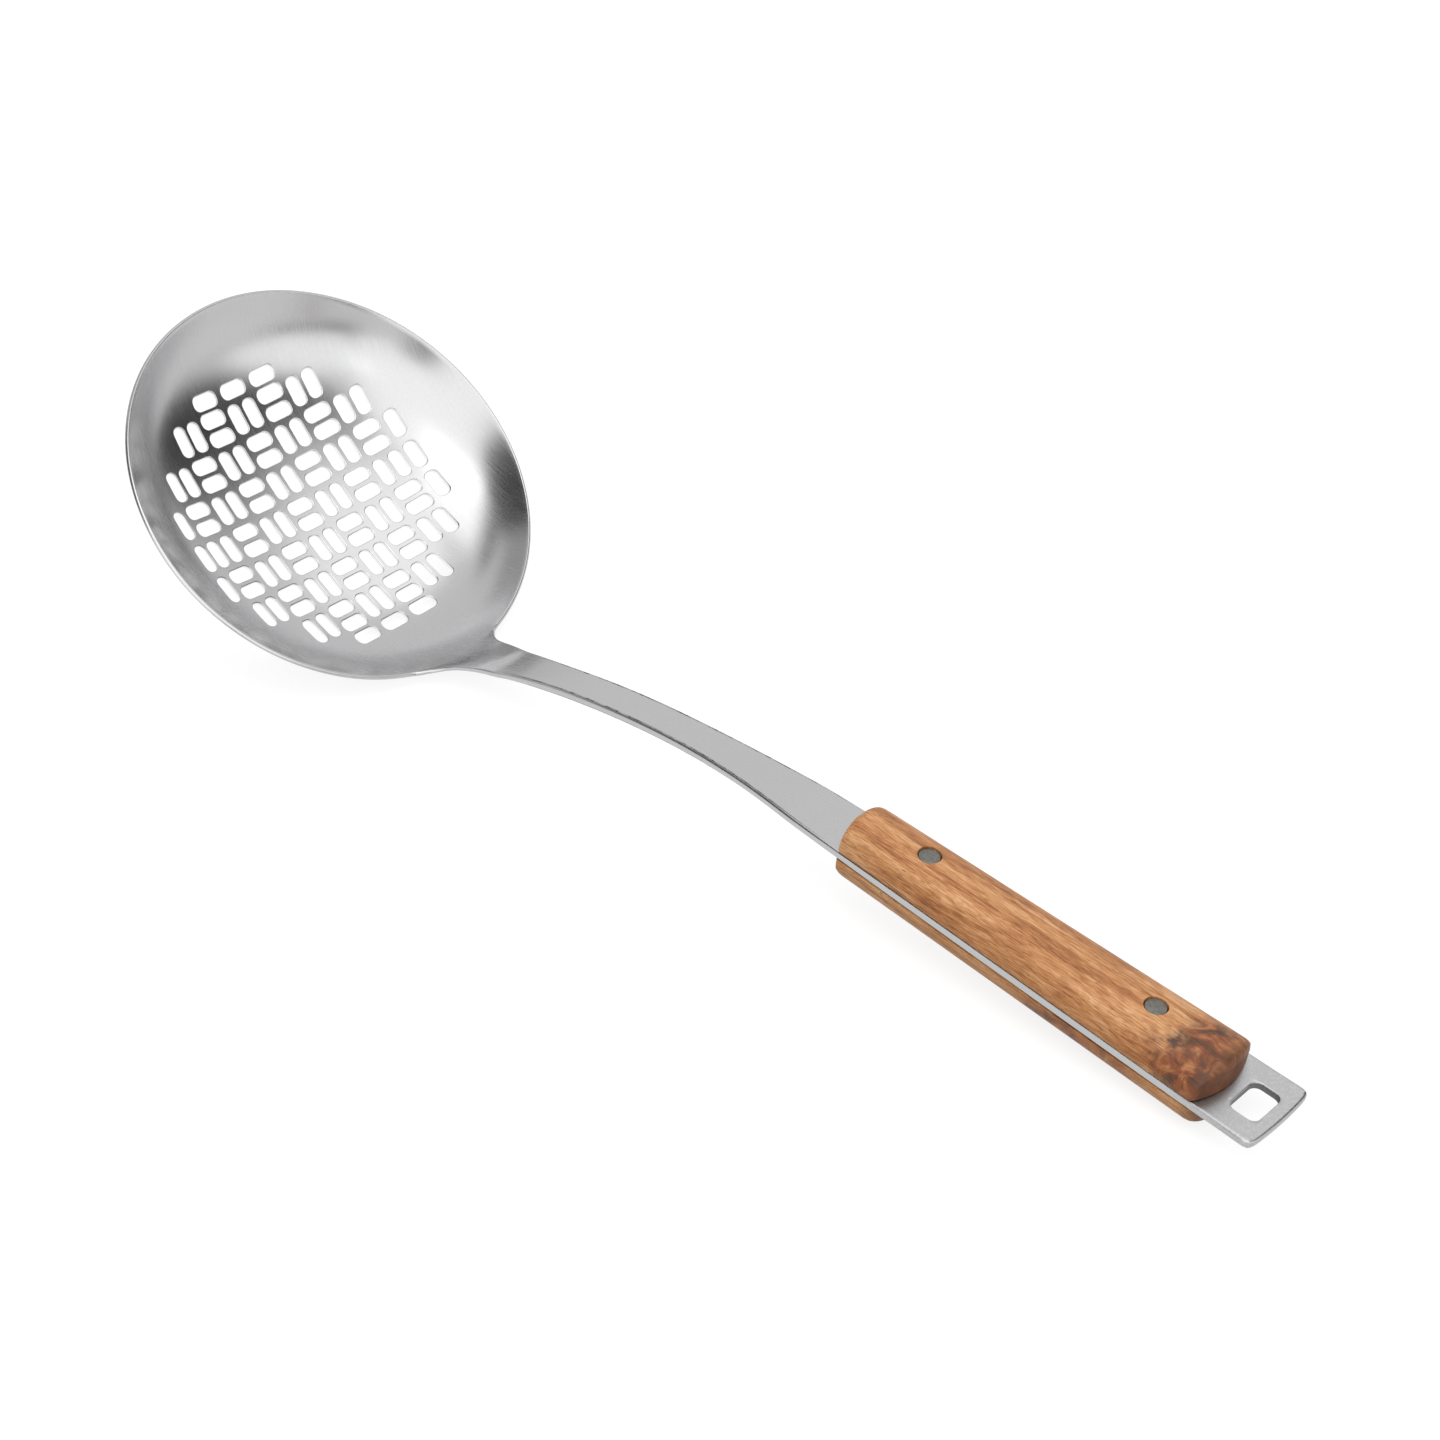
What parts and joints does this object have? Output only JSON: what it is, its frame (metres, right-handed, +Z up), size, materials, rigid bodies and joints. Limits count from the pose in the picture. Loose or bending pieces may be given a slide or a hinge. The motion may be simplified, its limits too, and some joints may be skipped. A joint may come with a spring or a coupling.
{
  "type": "kitchen skimmer",
  "caption": "Long-handled kitchen skimmer: a round slotted steel bowl on a curved shank, with wooden handle scales riveted to the tang and a hanging eye at the end.",
  "frame": {"origin": "middle of the base of the bounding box, on the table that the skimmer lies on", "axes": "+X from the bowl to the hanging tab, +Z up from the table, XZ the plane of symmetry"},
  "size_m": [0.3502, 0.1158, 0.0692],
  "materials": {
    "steel": "satin, fine brushed",
    "upper_wood": "oiled, open pored",
    "lower_wood": "oiled, open pored",
    "rivet": "matte"
  },
  "bodies": {
    "root": {"steel_body": "steel", "upper_scale": "upper_wood", "lower_scale": "lower_wood", "front_rivet_socket": "rivet", "front_rivet_post": "rivet", "rear_rivet_socket": "rivet", "rear_rivet_post": "rivet"}
  },
  "joints": []
}
